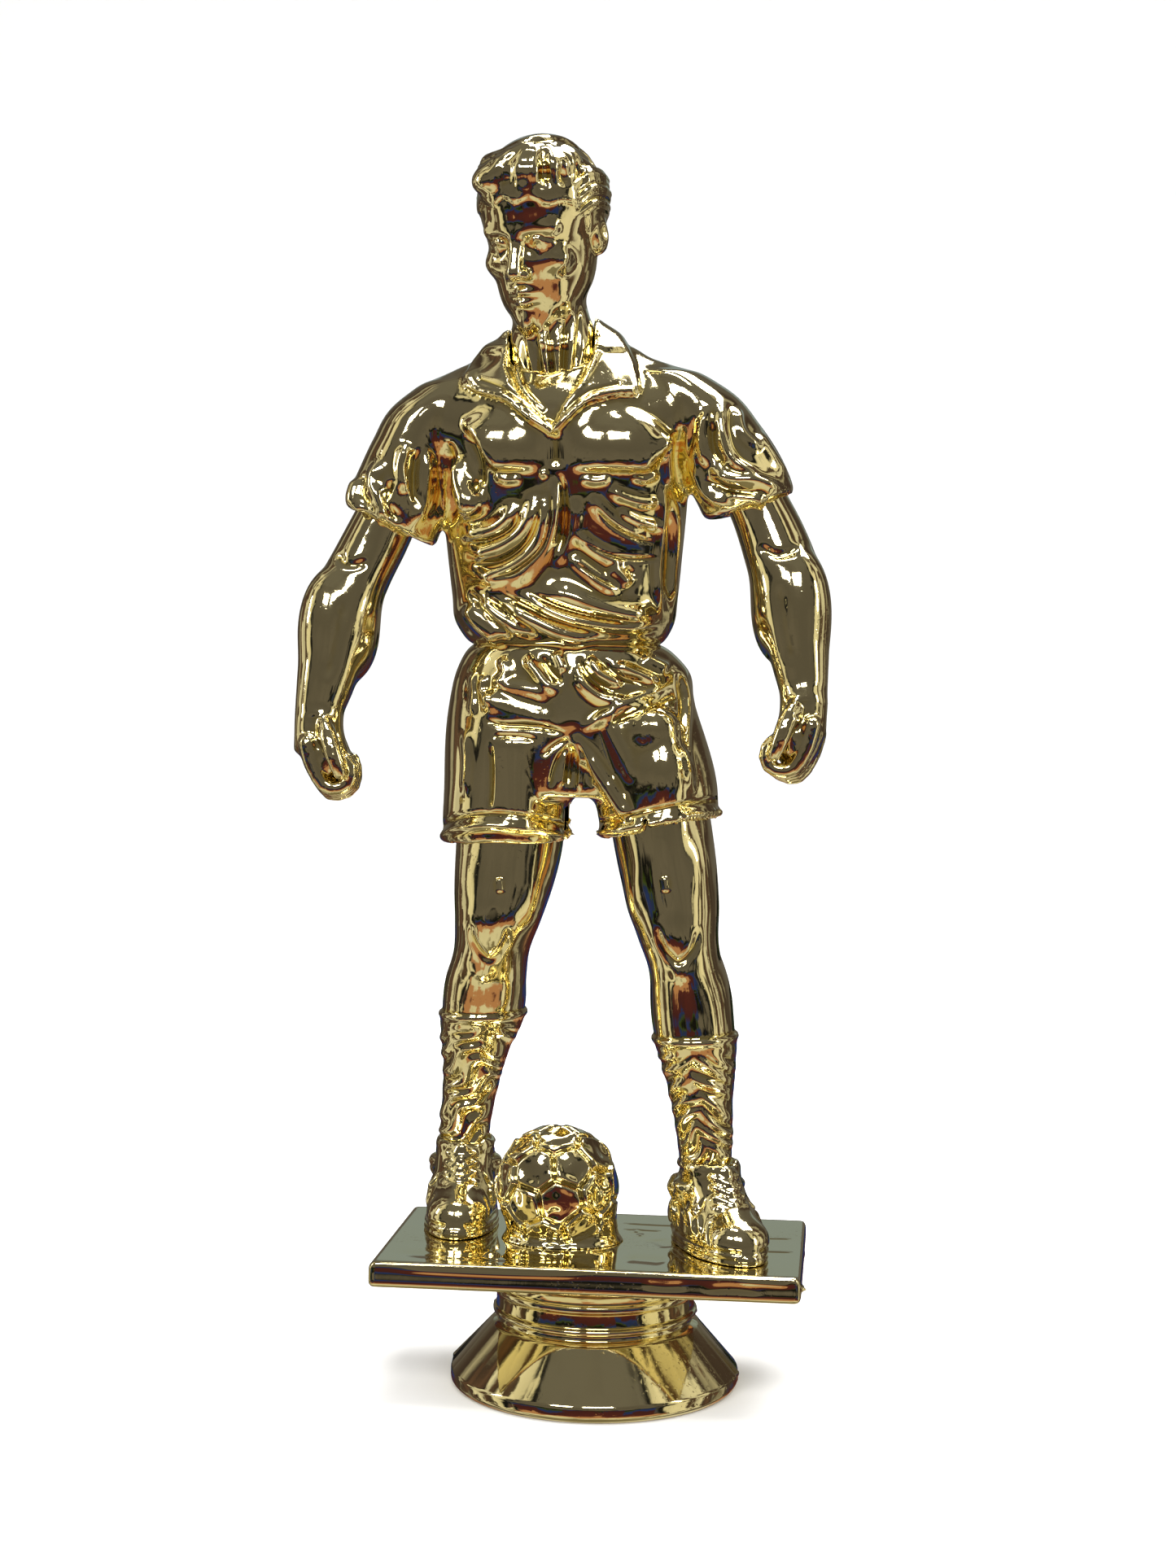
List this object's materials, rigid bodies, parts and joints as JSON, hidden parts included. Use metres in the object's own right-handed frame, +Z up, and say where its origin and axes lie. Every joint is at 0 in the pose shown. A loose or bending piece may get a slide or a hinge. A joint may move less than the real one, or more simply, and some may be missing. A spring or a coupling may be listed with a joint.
{
  "type": "figure trophy",
  "caption": "Metallised football player figure standing beside a ball on a rectangular plate with a round flared hub that screws onto a trophy column.",
  "frame": {"origin": "bottom centre of the whole object's box, on the plane of the hub's rim; the hub's axis is at x = 5.1 mm, y = 0", "axes": "+Z up through the figure, +X towards the figure's left hand, -Y the way the figure faces"},
  "size_m": [0.0662, 0.036, 0.1548],
  "materials": {
    "gilded_figure": "polished",
    "gilded_base": "polished",
    "nut_steel": "satin"
  },
  "bodies": {
    "root": {"hub": "gilded_base", "hex_nut": "nut_steel", "plate": "gilded_base", "ball": "gilded_figure", "right_boot": "gilded_figure", "left_boot": "gilded_figure", "right_leg": "gilded_figure", "left_leg": "gilded_figure", "shorts_front_shell": "gilded_figure", "shorts_back_shell": "gilded_figure", "shirt_front_shell": "gilded_figure", "shirt_back_shell": "gilded_figure", "right_arm": "gilded_figure", "left_arm": "gilded_figure", "head": "gilded_figure"}
  },
  "joints": []
}
